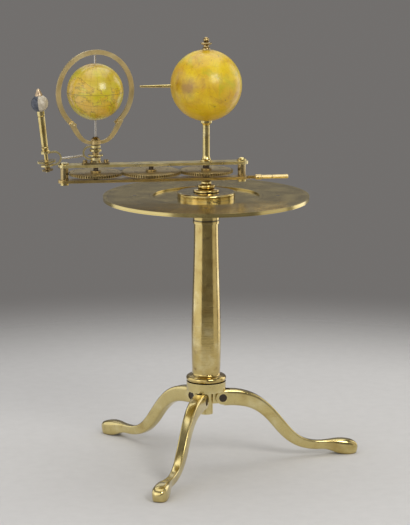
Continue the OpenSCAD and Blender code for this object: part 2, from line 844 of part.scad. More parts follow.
module hub_boss() {
  rim = boss_rim_h;
  bead = boss_bead_r;
  color(brass)
    translate([0, 0, boss_z])
      rotate_extrude()
        polygon(concat(
          [[shoulder_r, 0], [boss_r - 0.8, 0], [boss_r, 0.8], [boss_r, rim - 0.8]],
          curve_points([[boss_r, rim - 0.8], [boss_r, rim + 0.6],
            [bead + 2, rim + 0.4], [bead - 1.2, rim + 1.4]], 7, 1),
          curve_points([[bead - 1.2, rim + 1.4], [bead + 0.5, rim + 1.8],
            [bead + 0.5, rim + 6.2], [bead - 1.2, rim + 6.6]], 9, 1),
          curve_points([[bead - 1.2, rim + 6.6], [boss_top_r + 0.6, rim + 6.8],
            [boss_top_r, rim + 7], [boss_top_r, rim + 8]], 5, 1),
          [[boss_top_r, boss_h - 0.6], [boss_top_r - 0.6, boss_h]],
          [[shoulder_r, boss_h]]
        ));
}

module centre_arbor() {
  color(steel) {
    translate([0, 0, boss_z])
      cylinder(h = lower_z - boss_z, r = shoulder_r);
    translate([0, 0, boss_z])
      cylinder(h = upper_z - face_gap - boss_z, r = centre_arbor_r);
    translate([0, 0, boss_z])
      cylinder(h = upper_top + centre_pivot_h - boss_z, r = centre_pivot_r);
  }
}

// A toothed wheel with its collet; shift turns it by that share of a tooth
module wheel(teeth, bore_r, shift) {
  side = flank(teeth);
  difference() {
    union() {
      linear_extrude(wheel_t)
        polygon([
          for (i = [0:teeth - 1])
            let (c = 360 * (i + shift) / teeth)
            each concat(
              [for (r = side) polar(r, c - half_tooth(r, teeth))],
              [for (j = [2:-1:0]) polar(side[j], c + half_tooth(side[j], teeth))]
            )
        ]);
      translate([0, 0, wheel_t / 2])
        cylinder(h = wheel_t / 2 + collet_h, r = collet_r);
    }
    translate([0, 0, -1])
      cylinder(h = wheel_t + collet_h + 2, r = bore_r);
  }
}

module centre_wheel() {
  color(pale_brass)
    translate([0, 0, wheel_z])
      wheel(wheel_teeth, centre_arbor_r, 0);
}

module idler_wheel() {
  color(pale_brass)
    translate([idler_x, 0, wheel_z])
      wheel(idler_teeth, arbor_r, 0.5);
}

module earth_wheel() {
  color(pale_brass)
    translate([earth_x, 0, wheel_z])
      wheel(wheel_teeth, arbor_r, 0);
}

module idler_arbor() {
  color(steel)
    translate([idler_x, 0, 0]) {
      translate([0, 0, lower_top + face_gap])
        cylinder(h = bar_gap - 2 * face_gap, r = arbor_r);
      translate([0, 0, lower_z])
        cylinder(h = upper_top - lower_z, r = pivot_r);
    }
}

module earth_arbor() {
  color(steel)
    translate([earth_x, 0, 0]) {
      translate([0, 0, lower_z])
        cylinder(h = bar_gap, r = pivot_r);
      translate([0, 0, lower_top + face_gap])
        cylinder(h = bar_gap - 2 * face_gap, r = arbor_r);
      translate([0, 0, upper_z - 1])
        cylinder(h = head_z + ring_collar_h - wire_socket_h / 2 - upper_z + 1, r = spindle_r);
    }
}

// Plan of both bars: straight sides and round ends about the pillars
module bar_plan() {
  translate([earth_pillar_x, -bar_w / 2])
    square([sun_pillar_x - earth_pillar_x, bar_w]);
  translate([earth_pillar_x, 0])
    circle(r = bar_w / 2);
  translate([sun_pillar_x, 0])
    circle(r = bar_w / 2);
}

module pillar_places() {
  for (x = [earth_pillar_x, sun_pillar_x])
    translate([x, 0, 0])
      children();
}

module arm_lower_bar() {
  color(brass)
    difference() {
      translate([0, 0, lower_z])
        linear_extrude(bar_t) {
          bar_plan();
          translate([sun_pillar_x, -tongue_w / 2])
            square([bar_w / 2 + tongue_show + tongue_l, tongue_w]);
        }
      translate([0, 0, lower_z - 1]) {
        cylinder(h = bar_t + 2, r = centre_arbor_r + fit);
        for (x = [idler_x, earth_x])
          translate([x, 0, 0])
            cylinder(h = bar_t + 2, r = pivot_r + fit);
        pillar_places()
          cylinder(h = bar_t + 2, r = stud_r);
      }
      handle_pin_place()
        cylinder(h = 4 * socket_r, r = handle_pin_r, center = true);
    }
}

module arm_upper_bar() {
  color(brass)
    difference() {
      translate([0, 0, upper_z])
        linear_extrude(bar_t)
          bar_plan();
      translate([0, 0, upper_z - 1]) {
        cylinder(h = bar_t + 2, r = sun_tenon_r);
        translate([idler_x, 0, 0])
          cylinder(h = bar_t + 2, r = pivot_r + fit);
        translate([earth_x, 0, 0])
          cylinder(h = bar_t + 2, r = tube_r);
        pillar_places()
          cylinder(h = bar_t + 2, r = stud_r);
      }
      bearing_screw_places()
        translate([0, 0, upper_z - 1])
          cylinder(h = bar_t + 2, r = bearing_shank_r);
    }
}

module pillar() {
  translate([0, 0, lower_top])
    cylinder(h = bar_gap, r = pillar_r);
  translate([0, 0, lower_z - foot_nut_h])
    cylinder(h = upper_top + cap_nut_h - lower_z + foot_nut_h, r = stud_r);
}

module sun_end_pillar() {
  color(brass)
    translate([sun_pillar_x, 0, 0])
      pillar();
}

module earth_end_pillar() {
  color(brass)
    translate([earth_pillar_x, 0, 0])
      pillar();
}

// A domed nut; the dome is the top of a ball
module cap_nut(dome_h) {
  foot = cap_nut_r - 0.5;
  dome_r = (foot * foot + dome_h * dome_h) / (2 * dome_h);
  difference() {
    union() {
      cylinder(h = cap_nut_h, r = cap_nut_r);
      intersection() {
        translate([0, 0, cap_nut_h + dome_h - dome_r])
          sphere(r = dome_r);
        translate([0, 0, cap_nut_h / 2])
          cylinder(h = 2 * dome_r, r = foot);
      }
    }
    translate([0, 0, -1])
      cylinder(h = cap_nut_h + 1, r = stud_r);
  }
}

module pillar_cap_nuts() {
  color(brass) {
    translate([sun_pillar_x, 0, upper_top])
      cap_nut(high_dome_h);
    translate([earth_pillar_x, 0, upper_top])
      cap_nut(low_dome_h);
  }
}

module pillar_foot_nuts() {
  color(brass)
    pillar_places()
      translate([0, 0, lower_z - foot_nut_h])
        difference() {
          cylinder(h = foot_nut_h, r = foot_nut_r);
          translate([0, 0, -1])
            cylinder(h = foot_nut_h + 2, r = stud_r);
          translate([-foot_nut_r - 1, -slot_w / 2, -1])
            cube([2 * foot_nut_r + 2, slot_w, 1 + foot_nut_h / 3]);
        }
}

module handle_pin_place() {
  translate([handle_x + tongue_l / 2, 0, bar_mid_z])
    rotate([90, 0, 0])
      children();
}

// Turned handle on the tongue of the lower bar, with a groove before its grip
module handle() {
  l = handle_l - tongue_show;
  grip = l - grip_l;
  color(brass)
    difference() {
      translate([handle_x, 0, bar_mid_z])
        rotate([0, 90, 0])
          rotate_extrude()
            polygon([
              [0, 0], [socket_r - 0.3, 0], [socket_r, 0.3], [socket_r, socket_l - 1],
              [handle_r, socket_l], [handle_r, grip - 1], [handle_r - 0.7, grip - 0.7],
              [handle_r - 0.7, grip], [grip_r, grip + 0.3], [grip_r, l - 0.6],
              [grip_r - 0.6, l], [0, l]
            ]);
      translate([handle_x - 1, -tongue_w / 2, lower_z])
        cube([tongue_l + 1, tongue_w, bar_t]);
      handle_pin_place()
        cylinder(h = 4 * socket_r, r = handle_pin_r, center = true);
    }
}

module handle_pin() {
  color(steel)
    handle_pin_place()
      cylinder(h = 2 * socket_r, r = handle_pin_r, center = true);
}

// Post of the sun, with a bearing for the centre arbor in its tenon
module sun_post() {
  top = sun_z - sun_r;
  color(brass)
    difference() {
      union() {
        translate([0, 0, upper_z])
          cylinder(h = bar_t + 1, r = sun_tenon_r);
        translate([0, 0, upper_top])
          rotate_extrude()
            polygon(concat(
              [[0, 0], [sun_foot_r, 0], [sun_foot_r, sun_foot_t]],
              curve_points([[sun_foot_r, sun_foot_t], [sun_foot_r - 2.2, sun_foot_t + 0.5],
                [sun_post_r, sun_flare_h - 4], [sun_post_r, sun_flare_h]], 8, 1),
              [[0, sun_flare_h]]
            ));
        translate([0, 0, upper_top])
          cylinder(h = top - upper_top, r = sun_post_r);
        translate([0, 0, top - 5])
          cylinder(h = 3, r1 = sun_post_r, r2 = sun_cup_r);
        translate([0, 0, top - 2])
          cylinder(h = 5, r = sun_cup_r);
      }
      translate([0, 0, sun_z])
        sphere(r = sun_r);
      translate([0, 0, upper_z - 1])
        cylinder(h = bar_t + centre_pivot_h + face_gap + 1, r = centre_pivot_r + fit);
      translate([0, 0, top - sun_rod_bite])
        cylinder(h = sun_rod_bite + 5, r = sun_rod_r);
    }
}

module sun_rod() {
  low = sun_z - sun_r - sun_rod_bite;
  color(steel)
    translate([0, 0, low])
      cylinder(h = sun_z + sun_r + finial_h / 2 - low, r = sun_rod_r);
}

module sun_ball() {
  color(sun_yellow)
    difference() {
      translate([0, 0, sun_z])
        sphere(r = sun_r);
      translate([0, 0, sun_z - 2 * sun_r])
        cylinder(h = 4 * sun_r, r = sun_rod_r);
      translate([-2 * sun_r, 0, sun_z])
        rotate([0, 90, 0])
          cylinder(h = sun_r + tang_l, r = tang_r);
    }
}

module sun_finial() {
  top = sun_z + sun_r;
  neck = sun_rod_r + 1.4;
  disc = [6.6, 9];
  color(brass)
    difference() {
      translate([0, 0, top])
        rotate_extrude()
          polygon(concat(
            [[0, -2], [finial_r - 2, -2], [finial_r - 2, 1.2]],
            curve_points([[finial_r - 2, 1.2], [finial_r - 2.4, 3.2],
              [neck, 2.6], [neck, 4.2]], 5, 1),
            [[neck, disc[0] - 0.8], [finial_r - 0.7, disc[0]], [finial_r, disc[0] + 0.7],
             [finial_r, disc[1] - 0.7], [finial_r - 0.7, disc[1]], [neck - 0.8, disc[1] + 0.5]],
            curve_points([[neck - 0.8, disc[1] + 0.5], [finial_knob_r + 1, disc[1] + 1.8],
              [finial_knob_r + 0.4, finial_h], [0, finial_h]], 8, 1)
          ));
      translate([0, 0, sun_z])
        sphere(r = sun_r);
      translate([0, 0, top - 3])
        cylinder(h = 3 + finial_h / 2, r = sun_rod_r);
    }
}

// Pointer from the sun towards the earth
module sun_pointer() {
  color(brass)
    difference() {
      translate([0, 0, sun_z])
        rotate([0, -90, 0])
          rotate_extrude() {
            polygon([
              [0, sun_r - tang_l], [tang_r, sun_r - tang_l], [tang_r, sun_r],
              [pointer_r, sun_r], [pointer_tip_r, sun_r + pointer_l - pointer_tip_r],
              [0, sun_r + pointer_l - pointer_tip_r]
            ]);
            intersection() {
              translate([0, sun_r + pointer_l - pointer_tip_r])
                circle(r = pointer_tip_r);
              translate([0, sun_r + pointer_l - pointer_tip_r])
                square(2 * pointer_tip_r);
            }
          }
    }
}

module bearing_screw_places() {
  for (s = [-1, 1])
    translate([earth_x + s * bearing_screw_at, 0, 0])
      children();
}

// Flanged tube that the earth's arbor runs in and the moon's yoke turns on
module spindle_bearing() {
  color(brass)
    difference() {
      union() {
        translate([earth_x, 0, upper_top])
          cylinder(h = bearing_t, r = bearing_r);
        translate([earth_x, 0, bearing_top])
          cylinder(h = cone_h, r1 = cone_low_r, r2 = cone_top_r);
        translate([earth_x, 0, upper_z])
          cylinder(h = tube_top - upper_z, r = tube_r);
      }
      translate([earth_x, 0, upper_z - 1])
        cylinder(h = tube_top - upper_z + 2, r = spindle_r + fit);
      bearing_screw_places()
        translate([0, 0, upper_z])
          cylinder(h = bar_t + bearing_t + 1, r = bearing_shank_r);
      for (s = [-1, 1])
        translate([earth_x - bearing_r, s * (bar_w / 2 + bearing_r) - bearing_r, upper_top - 1])
          cube([2 * bearing_r, 2 * bearing_r, bearing_t + 2]);
    }
}

module bearing_screws() {
  color(brass)
    bearing_screw_places()
      difference() {
        union() {
          translate([0, 0, bearing_top])
            cylinder(h = bearing_head_h, r = bearing_head_r);
          translate([0, 0, upper_z])
            cylinder(h = bearing_top - upper_z, r = bearing_shank_r);
        }
        translate([-bearing_head_r, -slot_w / 2, bearing_top + bearing_head_h - 1.2])
          cube([2 * bearing_head_r, slot_w, bearing_head_h]);
      }
}

// A ring on the tube, with rounded edges
module tube_ring(r, t) {
  rotate_extrude()
    polygon([[tube_r, 0], [r - 0.5, 0], [r, 0.5], [r, t - 0.5], [r - 0.5, t], [tube_r, t]]);
}

module spindle_wide_ring() {
  color(brass)
    translate([earth_x, 0, wide_ring_z])
      tube_ring(wide_ring_r, wide_ring_t);
}

module spindle_narrow_ring() {
  color(brass)
    translate([earth_x, 0, narrow_ring_z])
      tube_ring(narrow_ring_r, narrow_ring_t);
}

// Head of the earth's arbor, which carries the ring and the wire
module spindle_head() {
  h = ring_collar_h;
  color(brass)
    translate([earth_x, 0, head_z])
      difference() {
        rotate_extrude()
          polygon([
            [0, 0], [head_r, 0], [head_r, h], [head_rim_r, h], [head_rim_r, h + 1.4],
            [head_rim_r - 0.6, h + 1.8], [wire_r + 1.6, h + head_top_h], [0, h + head_top_h]
          ]);
        translate([0, 0, -1])
          cylinder(h = h - wire_socket_h / 2 + 1, r = spindle_r);
        translate([0, 0, h + head_top_h - wire_socket_h])
          cylinder(h = wire_socket_h + 1, r = wire_r + fit);
      }
}

// Middle line of a fork arm, from the lap on the ring down to the collar
ring_mid_r = ring_r - ring_w / 2;
fork_top = polar(ring_mid_r, fork_lap - ring_open);
fork_down = ring_end_z - globe_z;
fork_line = [
  fork_top, fork_top + polar(ring_w * 2.75, -120),
  [0.6 * fork_top[0], fork_down], [ring_collar_r - 1, fork_down]
];
function fork_edge(side) = [
  for (i = [0:16])
    let (t = i / 16, d = curve_dir(fork_line, t), w = mix(fork_w, fork_end_w, ease(t)))
    curve(fork_line, t) + side * w / 2 * [-d[1], d[0]] / norm(d)
];
rivet_places = [for (x = [-1, 1]) for (k = [0.3, 0.75])
  let (p = polar(ring_mid_r, fork_lap * k - ring_open)) [x * p[0], p[1]]];

// Upright plane of the ring and its fork
module ring_plane() {
  translate([earth_x, 0, globe_z])
    rotate([90, 0, ring_turn])
      children();
}

module rivet_holes() {
  for (p = rivet_places)
    translate([p[0], p[1], 0])
      cylinder(h = 4 * ring_t, r = rivet_r, center = true);
}

// Flat open ring around the globe
module meridian_ring() {
  gap = 3 * ring_r;
  color(brass)
    difference() {
      ring_plane()
        difference() {
          linear_extrude(ring_t, center = true)
            difference() {
              circle(r = ring_r);
              circle(r = ring_in_r);
              polygon([[0, 0], polar(gap, 180 + ring_open), polar(gap, -ring_open)]);
            }
          rivet_holes();
        }
      translate([earth_x, 0, globe_z])
        cylinder(h = ring_in_r + wire_pivot_l, r = wire_pivot_r + fit);
    }
}

// Collar on the spindle head with two bent arms that carry the ring
module ring_fork() {
  h = ring_collar_h;
  back = fork_edge(-1);
  arm = concat(fork_edge(1), [for (i = [len(back) - 1:-1:0]) back[i]]);
  color(brass)
    union() {
      translate([earth_x, 0, head_z])
        rotate_extrude()
          polygon([
            [head_r, 0], [ring_collar_r - 0.6, 0], [ring_collar_r, 0.6],
            [ring_collar_r, h - 0.6], [ring_collar_r - 0.6, h], [head_r, h]
          ]);
      ring_plane()
        difference() {
          translate([0, 0, ring_t / 2])
            linear_extrude(fork_t) {
              polygon(arm);
              mirror([1, 0])
                polygon(arm);
            }
          rivet_holes();
        }
    }
}

module ring_rivets() {
  color(brass)
    ring_plane()
      for (p = rivet_places)
        translate([p[0], p[1], -ring_t / 2]) {
          cylinder(h = ring_t + fork_t, r = rivet_r);
          translate([0, 0, ring_t + fork_t])
            cylinder(h = 0.6, r1 = 2 * rivet_r, r2 = 1.4 * rivet_r);
        }
}

module globe_ball() {
  color(globe_paper)
    translate([earth_x, 0, globe_z])
      difference() {
        sphere(r = globe_r);
        translate([0, 0, -2 * globe_r])
          cylinder(h = 4 * globe_r, r = wire_r);
      }
}

// Wire through the globe, from the spindle head to the top of the ring
module globe_axis() {
  low = head_z + ring_collar_h + head_top_h - wire_socket_h;
  top = globe_z + ring_in_r - face_gap;
  color(bright_steel)
    translate([earth_x, 0, 0]) {
      translate([0, 0, low])
        cylinder(h = top - low, r = wire_r);
      translate([0, 0, low])
        cylinder(h = top - low + wire_pivot_l, r = wire_pivot_r);
    }
}

// Frame of the moon's post, at the middle of its yoke
module moon_frame() {
  translate([earth_x - moon_at, 0, moon_z])
    rotate([0, -lean, 0])
      children();
}

// A strap bent to a half circle towards +X, with two eyes on one axis
module bent_yoke(span, reach, high_r, low_r, eye_t, bore_r) {
  out_r = (span + strap_t) / 2;
  difference() {
    union() {
      for (s = [-1, 1]) {
        translate([0, 0, s * span / 2])
          cylinder(h = eye_t, r = s > 0 ? high_r : low_r, center = true);
        translate([0, -strap_w / 2, s * span / 2 - strap_t / 2])
          cube([reach, strap_w, strap_t]);
      }
      translate([reach, strap_w / 2, 0])
        rotate([90, 0, 0])
          linear_extrude(strap_w)
            difference() {
              circle(r = out_r);
              circle(r = out_r - strap_t);
              translate([-4 * out_r, -2 * out_r])
                square(4 * out_r);
            }
    }
    for (s = [-1, 1])
      translate([0, 0, s * span / 2])
        cylinder(h = 2 * eye_t, r = bore_r, center = true);
  }
}

// Yoke on the bearing's tube
module moon_inner_yoke() {
  color(brass)
    difference() {
      translate([earth_x, 0, eye_mid_z])
        rotate([0, 0, 180])
          bent_yoke(yoke_span, strap_mid_r, yoke_eye_r, yoke_eye_r, yoke_eye_t, tube_r + fit);
      moon_rod_bore();
    }
}

// The rod's own space, from inside one strap to inside the other
module moon_rod_bore() {
  translate([earth_x + rod_out[0], 0, rod_out[1]])
    rotate([0, 90 - rod_slope, 0])
      translate([0, 0, -0.9 * strap_t])
        cylinder(h = rod_l + 1.8 * strap_t, r = moon_rod_r);
}

module moon_rod() {
  color(bright_steel)
    moon_rod_bore();
}

// Yoke that holds the moon's journal
module moon_outer_yoke() {
  color(brass)
    difference() {
      moon_frame()
        bent_yoke(moon_span, moon_reach, moon_eye_r, moon_low_eye_r, moon_eye_t, journal_r + fit);
      moon_rod_bore();
    }
}

// Post with its journal, turned from one rod
module moon_post() {
  top = moon_lift - moon_r;
  h = top - post_foot_w;
  low = moon_post_r;
  high = moon_post_top_r;
  color(brass)
    moon_frame()
      difference() {
        union() {
          translate([0, 0, journal_end])
            cylinder(h = post_foot_w - journal_end + 1, r = journal_r);
          translate([0, 0, post_foot_w])
            rotate_extrude()
              polygon([
                [0, 0], [moon_collar_r, 0], [moon_collar_r, 1.2], [low + 0.2, 2.2],
                [low + 0.2, 4.6], [low + 0.9, 5.2], [low, 6.2], [high, h - 6],
                [high - 0.5, h - 5.6], [high - 0.5, h - 5], [high + 0.2, h - 4.4],
                [high + 0.2, h + 1.5], [0, h + 1.5]
              ]);
        }
        translate([0, 0, moon_lift])
          sphere(r = moon_r);
        translate([0, 0, top - moon_pin_bite])
          cylinder(h = moon_pin_bite + 4, r = moon_pin_r);
      }
}

module moon_ball() {
  color(ivory)
    moon_frame()
      difference() {
        translate([0, 0, moon_lift])
          sphere(r = moon_r);
        translate([0, 0, moon_lift - 2 * moon_r])
          cylinder(h = 4 * moon_r, r = moon_pin_r);
      }
}

module moon_pin() {
  low = moon_lift - moon_r - moon_pin_bite;
  color(steel)
    moon_frame()
      translate([0, 0, low])
        cylinder(h = moon_lift + moon_r + moon_peg_h - low, r = moon_pin_r);
}

// Turned cap that holds the ball down on its pin
module moon_cap() {
  h = moon_cap_h;
  r = moon_cap_r;
  color(brass)
    moon_frame()
      difference() {
        translate([0, 0, moon_lift + moon_r])
          rotate_extrude()
            polygon(concat(
              [[0, -1.6], [r, -1.6], [r, 0.2]],
              curve_points([[r, 0.2], [0.86 * r, 0.3 * h], [0.5 * r, 0.62 * h], [0.42 * r, 0.9 * h]], 7, 1),
              curve_points([[0.42 * r, 0.9 * h], [0.4 * r, 0.98 * h], [0.25 * r, h], [0, h]], 4, 1)
            ));
        translate([0, 0, moon_lift])
          sphere(r = moon_r);
        translate([0, 0, moon_lift])
          cylinder(h = moon_r + moon_peg_h, r = moon_pin_r);
      }
}

// A disc on the journal with a milled edge
module milled_disc(r, t, notches) {
  difference() {
    cylinder(h = t, r = r);
    translate([0, 0, -1])
      cylinder(h = t + 2, r = journal_r);
    for (i = [0:notches - 1])
      rotate([0, 0, 360 * i / notches])
        translate([r, 0, -1])
          cylinder(h = t + 2, r = 0.4, $fn = 4);
  }
}

module moon_finger_wheel() {
  color(brass)
    moon_frame()
      translate([0, 0, -finger_drop - finger_t])
        milled_disc(finger_r, finger_t, 60);
}

module moon_nut() {
  color(brass)
    moon_frame()
      translate([0, 0, nut_low_w]) {
        milled_disc(moon_nut_r, moon_nut_h, 40);
        difference() {
          translate([0, 0, moon_nut_h - 1])
            cylinder(h = nut_neck_h + 1, r = nut_neck_r);
          cylinder(h = moon_nut_h + nut_neck_h + 1, r = journal_r);
        }
      }
}

leg_hub();
leg_hinge_pins();
leg_right();
leg_left();
leg_front();
tie_rod();
column();
table_socket();
table_screws();
table_plate();
scale_ring();
scale_ring_screws();
hub_disc();
hub_boss();
centre_arbor();
centre_wheel();
arm_lower_bar();
arm_upper_bar();
sun_end_pillar();
earth_end_pillar();
pillar_cap_nuts();
pillar_foot_nuts();
handle();
handle_pin();
idler_wheel();
idler_arbor();
sun_post();
sun_rod();
sun_ball();
sun_finial();
sun_pointer();
spindle_bearing();
bearing_screws();
spindle_wide_ring();
spindle_narrow_ring();
earth_wheel();
earth_arbor();
spindle_head();
ring_fork();
ring_rivets();
meridian_ring();
globe_ball();
globe_axis();
moon_inner_yoke();
moon_rod();
moon_outer_yoke();
moon_post();
moon_ball();
moon_pin();
moon_cap();
moon_finger_wheel();
moon_nut();
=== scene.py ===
import math

import bpy
from mathutils import Matrix, Vector


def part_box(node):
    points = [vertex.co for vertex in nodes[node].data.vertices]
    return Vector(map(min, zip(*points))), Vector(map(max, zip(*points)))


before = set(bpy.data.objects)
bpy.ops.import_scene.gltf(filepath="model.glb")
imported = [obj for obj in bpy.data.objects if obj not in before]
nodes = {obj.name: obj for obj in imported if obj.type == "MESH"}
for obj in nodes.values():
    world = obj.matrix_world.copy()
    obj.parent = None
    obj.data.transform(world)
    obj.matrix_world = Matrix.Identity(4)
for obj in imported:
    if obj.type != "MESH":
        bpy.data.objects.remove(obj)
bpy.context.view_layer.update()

# ---- places and sizes, in metres of the shared frame

SUN_Z, SUN_R = 0.4746, 0.0438
WORN_AT = SUN_R * Vector((-0.62, -0.78, 0.06))  # the worn patch, from the sun's middle
GLOBE, GLOBE_R = Vector((-0.136, 0.0, 0.4691)), 0.0345
MOON = Vector((-0.2036, 0.0, 0.4561))
JOINT_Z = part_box("column")[1][2]  # where the column meets the neck
JOINT_HALF = 0.0010
FLOOR_R, FLOOR_SIDES, FLOOR_FADES = 1.05, 96, 0.46  # the last is a share of the radius
CORNER = 0.003  # how far from a corner dirt and painted shade lie
# a wider reach of dirt and painted shade round the wheels' teeth, between the bars
TEETH_SHADE_REACH = 0.005
EDGE = 0.0012  # how far from an edge wear goes

# The scale on the table: its circles, and for each row of strokes their number,
# the radius where they begin and half their width
SCALE_CIRCLES = (0.0700, 0.0930, 0.1145, 0.1175, 0.1215)
SCALE_STROKES = ((360, 0.1175, 0.00016), (72, 0.1145, 0.00020), (12, 0.0930, 0.00026))
CIRCLE_HALF = 0.00022

# ---- colours: the dark, middle and light tone of each metal, some of them copies of brass painted lighter or darker for light, shade or dark reflection, and single stains

BRASS = ((0.46, 0.325, 0.095), (0.62, 0.490, 0.180), (0.74, 0.635, 0.32))
# a lighter copy of the brass: painted light on the legs, the upper bar and the yokes
LIT_BRASS = ((0.50, 0.375, 0.125), (0.67, 0.550, 0.230), (0.78, 0.680, 0.37))
# a darker, warmer copy of the brass: painted dark reflection on the column
DIM_REFLECTING_BRASS = ((0.43, 0.290, 0.080), (0.585, 0.445, 0.155), (0.74, 0.62, 0.31))
# a much darker copy of the brass: painted dark reflections of the room on small turned pieces
DARK_REFLECTING_BRASS = ((0.25, 0.165, 0.055), (0.37, 0.265, 0.100), (0.54, 0.430, 0.21))
# a darker copy of the brass: painted shade on the lower bar
SHADED = ((0.36, 0.240, 0.070), (0.50, 0.360, 0.125), (0.62, 0.480, 0.21))
STRAW = ((0.52, 0.39, 0.16), (0.64, 0.50, 0.235), (0.72, 0.60, 0.32))
# pale cut brass, darkened as painted shade for the wheels between the bars
PALE_SHADED_BRASS = ((0.34, 0.25, 0.105), (0.47, 0.365, 0.165), (0.58, 0.47, 0.24))
TAN = ((0.38, 0.25, 0.14), (0.50, 0.37, 0.23), (0.62, 0.51, 0.37))
TABLE = ((0.53, 0.410, 0.145), (0.61, 0.485, 0.185), (0.68, 0.560, 0.240))
DARK_STEEL = ((0.055, 0.044, 0.036), (0.085, 0.070, 0.058), (0.13, 0.11, 0.09))
BRIGHT_STEEL = ((0.42, 0.39, 0.33), (0.55, 0.51, 0.44), (0.66, 0.62, 0.55))
TONES_AT = (0.28, 0.5, 0.74)

TARNISH = (0.20, 0.105, 0.040)
STAIN = (0.38, 0.255, 0.080)
DARK_RUST = (0.05, 0.025, 0.012)
BROWN_RUST = (0.16, 0.10, 0.06)
# dark brown for dirt and painted shade in corners, and for the thin line at a joint
DARKENING = (0.050, 0.026, 0.010)
CUT_LINES = (0.09, 0.052, 0.022)
RUBBED_TABLE = (0.80, 0.68, 0.34)

# ---- marks on metal: how many to the metre along each axis

LATHE = (30, 30, 1600)
TURNED_MARKS = (700, 700, 900)
CAST_MARKS = (500, 500, 500)
DRAWN_MARKS = (180, 1500, 1500)
WHEEL_MARKS = (1100, 1100, 500)
FINE_MARKS = (900, 900, 900)


# ---- shader helpers

class Shader:
    """A material's node tree, with short calls to add and link nodes."""

    def __init__(self, name):
        self.mat = bpy.data.materials.new(name)
        self.mat.use_nodes = True
        self.tree = self.mat.node_tree
        self.tree.nodes.clear()
        self.out = self.add("ShaderNodeOutputMaterial")
        self.bsdf = self.add("ShaderNodeBsdfPrincipled")
        self.link(self.bsdf.outputs[0], self.out.inputs["Surface"])

    def add(self, kind, **settings):
        node = self.tree.nodes.new(kind)
        for key, value in settings.items():
            setattr(node, key, value)
        return node

    def link(self, a, b):
        self.tree.links.new(a, b)

    def put(self, socket, value):
        """Links an output to a socket, or sets a plain value on it."""
        if isinstance(value, bpy.types.NodeSocket):
            self.link(value, socket)
        else:
            socket.default_value = value

    def give(self, name, value):
        """Sets or links an input of the surface."""
        self.put(self.bsdf.inputs[name], value)

    def place(self, offset=(0, 0, 0), scale=(1, 1, 1)):
        """Object coordinates, in metres of the shared frame."""
        coord = self.add("ShaderNodeTexCoord")
        mapping = self.add("ShaderNodeMapping")
        mapping.inputs["Location"].default_value = offset
        mapping.inputs["Scale"].default_value = scale
        self.link(coord.outputs["Object"], mapping.inputs["Vector"])
        return mapping.outputs[0]

    def noise(self, vector, scale, detail, rough=0.5, distortion=0.0):
        n = self.add("ShaderNodeTexNoise")
        self.link(vector, n.inputs["Vector"])
        n.inputs["Scale"].default_value = scale
        n.inputs["Detail"].default_value = detail
        n.inputs["Roughness"].default_value = rough
        n.inputs["Distortion"].default_value = distortion
        return n.outputs[0]

    def ramp(self, fac, places, colours, smooth=False):
        r = self.add("ShaderNodeValToRGB")
        e = r.color_ramp.elements
        while len(e) < len(places):
            e.new(0.5)
        for i, (place, colour) in enumerate(zip(places, colours)):
            e[i].position = place
            e[i].color = (*colour, 1.0)
        if smooth:
            r.color_ramp.interpolation = "EASE"
        self.link(fac, r.inputs[0])
        return r.outputs[0]

    def span(self, fac, low, high, start, end):
        """Maps start to end onto low to high, and holds the value outside."""
        m = self.add("ShaderNodeMapRange")
        m.inputs["From Min"].default_value = start
        m.inputs["From Max"].default_value = end
        m.inputs["To Min"].default_value = low
        m.inputs["To Max"].default_value = high
        self.link(fac, m.inputs["Value"])
        return m.outputs[0]

    def math(self, op, a, b=0.0):
        m = self.add("ShaderNodeMath", operation=op)
        self.put(m.inputs[0], a)
        self.put(m.inputs[1], b)
        return m.outputs[0]

    def mix(self, fac, a, b):
        m = self.add("ShaderNodeMix", data_type="RGBA")
        self.put(m.inputs[0], fac)
        for socket, value in ((m.inputs[6], a), (m.inputs[7], b)):
            if isinstance(value, tuple):
                value = (*value, 1.0)
            self.put(socket, value)
        return m.outputs[2]

    def blotch(self, colour, tint, noise, most, start, full):
        """Mixes a tint into a colour where a noise is high, from start to full."""
        return self.mix(self.span(noise, 0.0, most, start, full), colour, tint)

    def split(self, vector):
        s = self.add("ShaderNodeSeparateXYZ")
        self.link(vector, s.inputs[0])
        return s.outputs

    def radius(self, x, y):
        """Distance from the upright axis."""
        squares = self.math("ADD", self.math("MULTIPLY", x, x), self.math("MULTIPLY", y, y))
        return self.math("SQRT", squares)

    def ragged(self, noise, width):
        """A noise as a shift to both sides, for an uneven edge."""
        return self.math("MULTIPLY", self.math("SUBTRACT", noise, 0.5), width)

    def off_line(self, angle, count, arm):
        """Distance from the nearest of count lines round a turn, at arm from the axis."""
        turns = self.math("ADD", self.math("MULTIPLY", angle, count / math.tau), 0.5)
        off = self.math("SUBTRACT", self.math("FRACT", turns), 0.5)
        arc = self.math("MULTIPLY", self.math("ABSOLUTE", off), math.tau / count)
        return self.math("MULTIPLY", arc, arm)

    def band(self, value, at, half):
        """1 within half of at, 0 elsewhere, with a soft edge."""
        off = self.math("ABSOLUTE", self.math("SUBTRACT", value, at))
        return self.span(off, 1.0, 0.0, half * 0.6, half * 1.4)

    def nook(self, reach, most, full, none, **kind):
        """A mask by how closed in a point is: most at full and below, 0 from none up."""
        ao = self.add("ShaderNodeAmbientOcclusion", samples=8, **kind)
        ao.inputs["Distance"].default_value = reach
        return self.span(ao.outputs["AO"], most, 0.0, full, none)

    def darken_dirt_and_shade(self, colour, reach):
        """Darkens a colour in corners and narrow gaps: old polish gathered there, and painted
        shade.
        """
        return self.mix(self.nook(reach, 0.85, 0.22, 0.72), colour, DARKENING)

    def wear(self, colour, worn):
        """Lightens a colour along outer edges, which hands and cloths rub bright."""
        edges = self.nook(EDGE, 0.55, 0.50, 0.92, inside=True, only_local=True)
        return self.mix(edges, colour, worn)

    def bump(self, height, strength, distance):
        b = self.add("ShaderNodeBump")
        b.inputs["Strength"].default_value = strength
        b.inputs["Distance"].default_value = distance
        self.link(height, b.inputs["Height"])
        self.give("Normal", b.outputs[0])


# ---- metals

